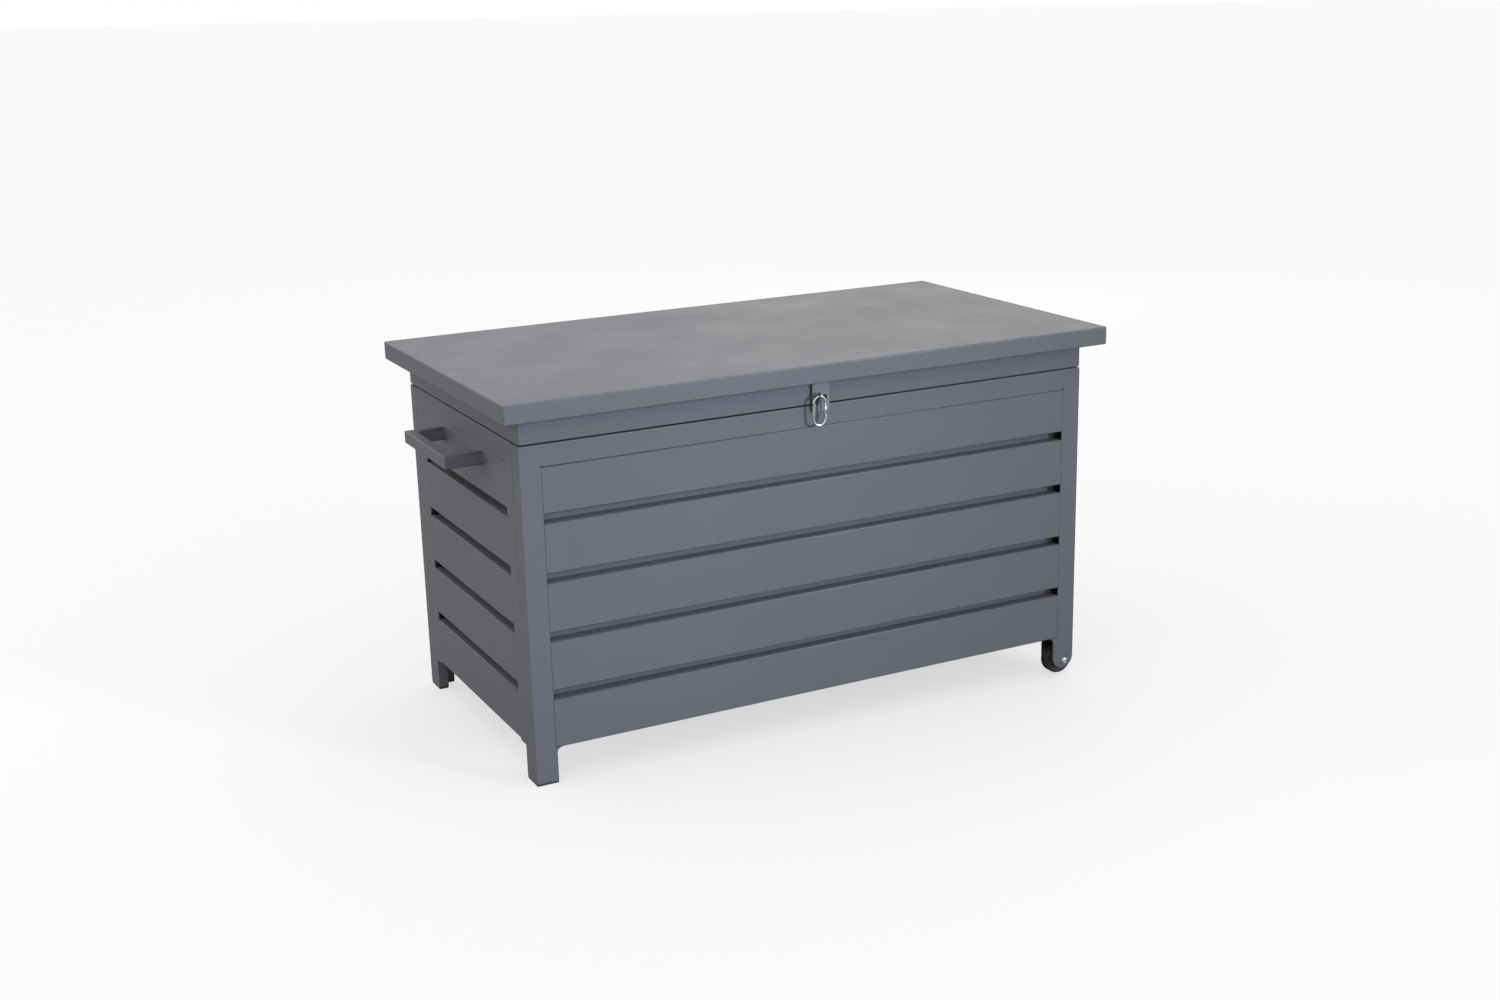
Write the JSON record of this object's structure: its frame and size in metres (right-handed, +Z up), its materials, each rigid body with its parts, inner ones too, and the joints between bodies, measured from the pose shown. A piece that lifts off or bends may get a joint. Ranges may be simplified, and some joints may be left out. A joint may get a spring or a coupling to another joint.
{
  "type": "deck storage box",
  "caption": "Slatted sheet-metal garden chest with a hinged overhanging lid on gas struts, end handles, hasp with carabiner, feet at one end and wheels at the other.",
  "frame": {"origin": "on the plane under the wheels, below the centre of the lid", "axes": "+X along the length towards the wheel end, -Y to the hasp front, +Z up"},
  "size_m": [1.35, 0.68, 0.7424],
  "materials": {
    "powder_coat": "satin powder coat, blue-grey",
    "black_plastic": "matt moulded",
    "rubber": "soft matt",
    "wheel_rubber": "moulded tread with a faint sheen",
    "bright_steel": "polished stainless",
    "strut_black": "satin black",
    "plain_aluminium": "mill finish"
  },
  "bodies": {
    "box": {"front_frame": "powder_coat", "back_frame": "powder_coat", "left_frame": "powder_coat", "right_frame": "powder_coat", "front_slat_1": "powder_coat", "back_slat_1": "powder_coat", "left_slat_1": "powder_coat", "right_slat_1": "powder_coat", "front_slat_2": "powder_coat", "back_slat_2": "powder_coat", "left_slat_2": "powder_coat", "right_slat_2": "powder_coat", "front_slat_3": "powder_coat", "back_slat_3": "powder_coat", "left_slat_3": "powder_coat", "right_slat_3": "powder_coat", "front_slat_4": "powder_coat", "back_slat_4": "powder_coat", "left_slat_4": "powder_coat", "right_slat_4": "powder_coat", "front_slat_5": "powder_coat", "back_slat_5": "powder_coat", "left_slat_5": "powder_coat", "right_slat_5": "powder_coat", "front_left_post": "powder_coat", "back_left_post": "powder_coat", "front_right_post": "powder_coat", "back_right_post": "powder_coat", "foot_caps": "black_plastic", "liner_panels": "powder_coat", "corner_trims": "black_plastic", "floor_panel": "powder_coat", "floor_bearers": "plain_aluminium", "rim_bumpers": "rubber", "hinge_body_leaves": "powder_coat", "hinge_pins": "bright_steel", "strut_foot_brackets": "bright_steel", "left_handle": "powder_coat", "right_handle": "powder_coat", "hasp_staple": "powder_coat", "wheel_bolts_and_nuts": "bright_steel", "wheel_spacers": "bright_steel", "wheel_brackets": "powder_coat"},
    "lid": {"lid_tray": "powder_coat", "lid_skirt": "powder_coat", "lid_inner_panel": "powder_coat", "lid_stiffeners": "plain_aluminium", "hinge_lid_leaves": "powder_coat", "strut_head_brackets": "bright_steel", "hasp_strap": "powder_coat"},
    "front_wheel": {"front_tyre": "wheel_rubber", "front_hub": "black_plastic"},
    "back_wheel": {"back_tyre": "wheel_rubber", "back_hub": "black_plastic"},
    "carabiner": {"carabiner_hook": "bright_steel"},
    "gate": {"carabiner_gate": "bright_steel"},
    "left_strut_cylinder": {"left_strut_cylinder": "strut_black"},
    "left_strut_rod": {"left_strut_rod": "bright_steel"},
    "right_strut_cylinder": {"right_strut_cylinder": "strut_black"},
    "right_strut_rod": {"right_strut_rod": "bright_steel"}
  },
  "joints": [
    {"name": "lid_hinge", "type": "hinge", "parent": "box", "child": "lid", "pos_m": [0, 0.3077, 0.6579], "axis": [-1, 0, 0], "range_deg": [0, 75]},
    {"name": "front_wheel_spin", "type": "hinge", "parent": "box", "child": "front_wheel", "pos_m": [0.5787, -0.2755, 0.0325], "axis": [0, 1, 0], "continuous": true},
    {"name": "back_wheel_spin", "type": "hinge", "parent": "box", "child": "back_wheel", "pos_m": [0.5787, 0.2755, 0.0325], "axis": [0, 1, 0], "continuous": true},
    {"name": "carabiner_swing", "type": "hinge", "parent": "box", "child": "carabiner", "pos_m": [-0.0085, -0.3175, 0.67615], "axis": [-1, 0, 0], "range_deg": [-5, 70]},
    {"name": "carabiner_gate", "type": "hinge", "parent": "carabiner", "child": "gate", "pos_m": [0.0042, -0.3175, 0.63845], "axis": [0, -1, 0], "range_deg": [0, 24], "stiffness_Nm_per_rad": 0.02, "springref_deg": -5.73},
    {"name": "left_strut_pivot", "type": "hinge", "parent": "box", "child": "left_strut_cylinder", "pos_m": [-0.56, 0.215, 0.49], "axis": [-1, 0, 0], "range_deg": [0, 14.09]},
    {"name": "left_strut_slide", "type": "slide", "parent": "left_strut_cylinder", "child": "left_strut_rod", "axis": [0, 0.0817, 0.9967], "range_m": [0, 0.08013]},
    {"name": "right_strut_pivot", "type": "hinge", "parent": "box", "child": "right_strut_cylinder", "pos_m": [0.56, 0.215, 0.49], "axis": [-1, 0, 0], "range_deg": [0, 14.09]},
    {"name": "right_strut_slide", "type": "slide", "parent": "right_strut_cylinder", "child": "right_strut_rod", "axis": [0, 0.0817, 0.9967], "range_m": [0, 0.08013]}
  ],
  "couplings": [
    {"joint": "left_strut_pivot", "follows": "lid_hinge", "ratio": 0.18765},
    {"joint": "left_strut_slide", "follows": "lid_hinge", "m_per_rad": 0.061138},
    {"joint": "right_strut_pivot", "follows": "lid_hinge", "ratio": 0.18765},
    {"joint": "right_strut_slide", "follows": "lid_hinge", "m_per_rad": 0.061138}
  ]
}
